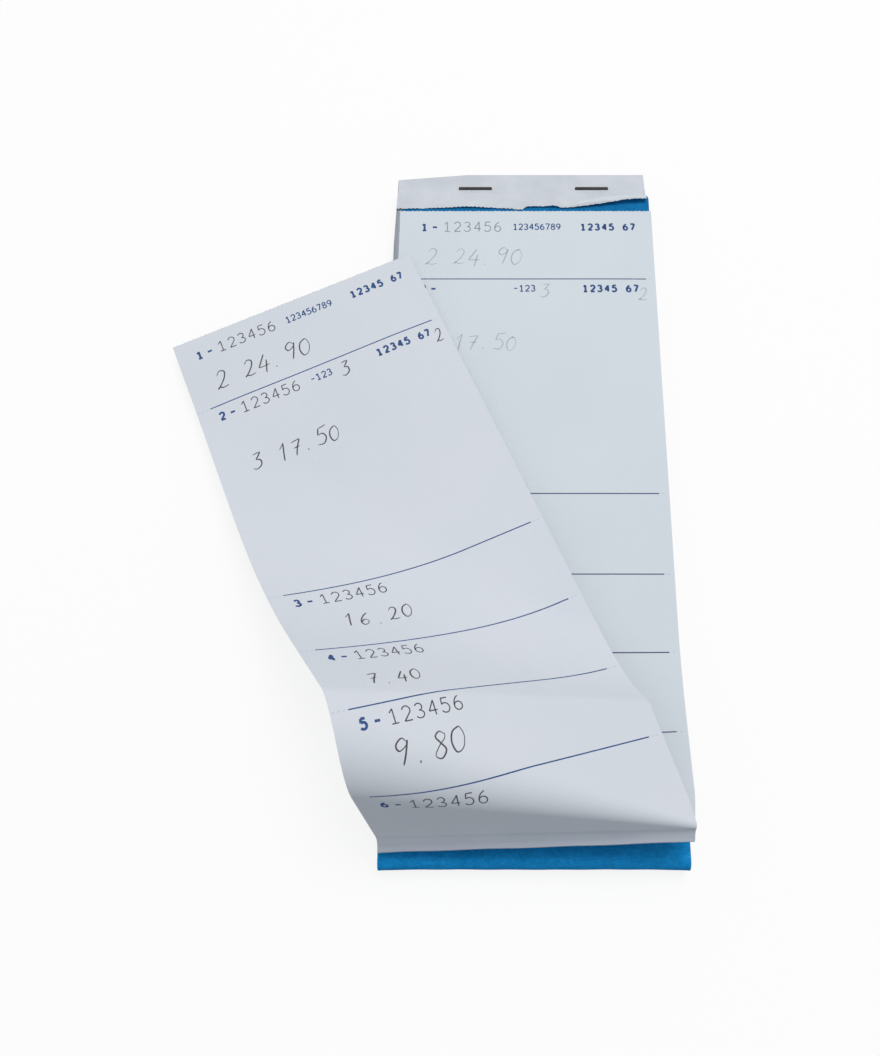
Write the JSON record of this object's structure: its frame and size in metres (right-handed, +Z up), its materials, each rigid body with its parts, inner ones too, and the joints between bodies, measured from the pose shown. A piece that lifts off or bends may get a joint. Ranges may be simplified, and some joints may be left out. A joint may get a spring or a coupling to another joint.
{
  "type": "duplicate receipt book",
  "caption": "Tall narrow receipt book of stapled duplicate sets in a wrap-around card cover; the torn top leaf is swung out to the left and rolls up at the foot.",
  "frame": {"origin": "centre of the back cover's underside, on the surface that the book lies on", "axes": "+Z up out of the closed book, +Y along the book to its stapled head, +X to the right"},
  "size_m": [0.1467, 0.21, 0.0493],
  "materials": {
    "card": "smooth blue cover card",
    "wire": "dull flat staple wire",
    "leaf": "matt white thin paper",
    "copy": "matt bluish white thin paper"
  },
  "bodies": {
    "book": {"cover_back": "card", "cover_foot": "card", "set_02": "leaf", "set_03": "leaf", "set_04": "leaf", "set_05": "leaf", "set_06": "leaf", "set_07": "leaf", "set_08": "leaf", "set_09": "leaf", "set_10": "leaf", "set_11": "leaf", "set_12": "leaf", "set_13": "leaf", "set_14": "leaf", "set_15": "leaf", "set_16": "leaf", "set_17": "leaf", "set_18": "leaf", "set_19": "leaf", "set_20": "leaf", "set_21": "leaf", "set_22": "leaf", "set_23": "leaf", "set_24": "leaf", "set_25": "leaf", "set_26": "leaf", "set_27": "leaf", "set_28": "leaf", "set_29": "leaf", "set_30": "leaf", "set_31": "leaf", "set_32": "leaf", "set_33": "leaf", "set_34": "leaf", "set_35": "leaf", "set_36": "leaf", "set_37": "leaf", "set_38": "leaf", "set_39": "leaf", "set_40": "leaf", "set_41": "leaf", "set_42": "leaf", "set_43": "leaf", "set_44": "leaf", "set_45": "leaf", "set_46": "leaf", "set_47": "leaf", "set_48": "leaf", "set_49": "leaf", "set_50": "leaf", "duplicate_stub": "copy", "original_stub": "leaf", "staple_left": "wire", "staple_right": "wire"},
    "flap": {"cover_flap": "card"},
    "duplicate": {"duplicate_leaf": "copy"},
    "original": {"original_leaf": "leaf"}
  },
  "joints": [
    {"name": "flap_hinge", "type": "hinge", "parent": "book", "child": "flap", "pos_m": [0, -0.1018, 0.00811], "axis": [1, 0, 0], "range_deg": [0, 95]},
    {"name": "duplicate_turn", "type": "hinge", "parent": "flap", "child": "duplicate", "pos_m": [0, 0.091, 0.00823], "axis": [1, 0, 0], "range_deg": [-150, 0]},
    {"name": "original_fold", "type": "hinge", "parent": "duplicate", "child": "original", "pos_m": [-0.03979, -0.10083, 0.01285], "axis": [0.9917, 0.0317, 0.1243], "range_deg": [0, 90]}
  ]
}
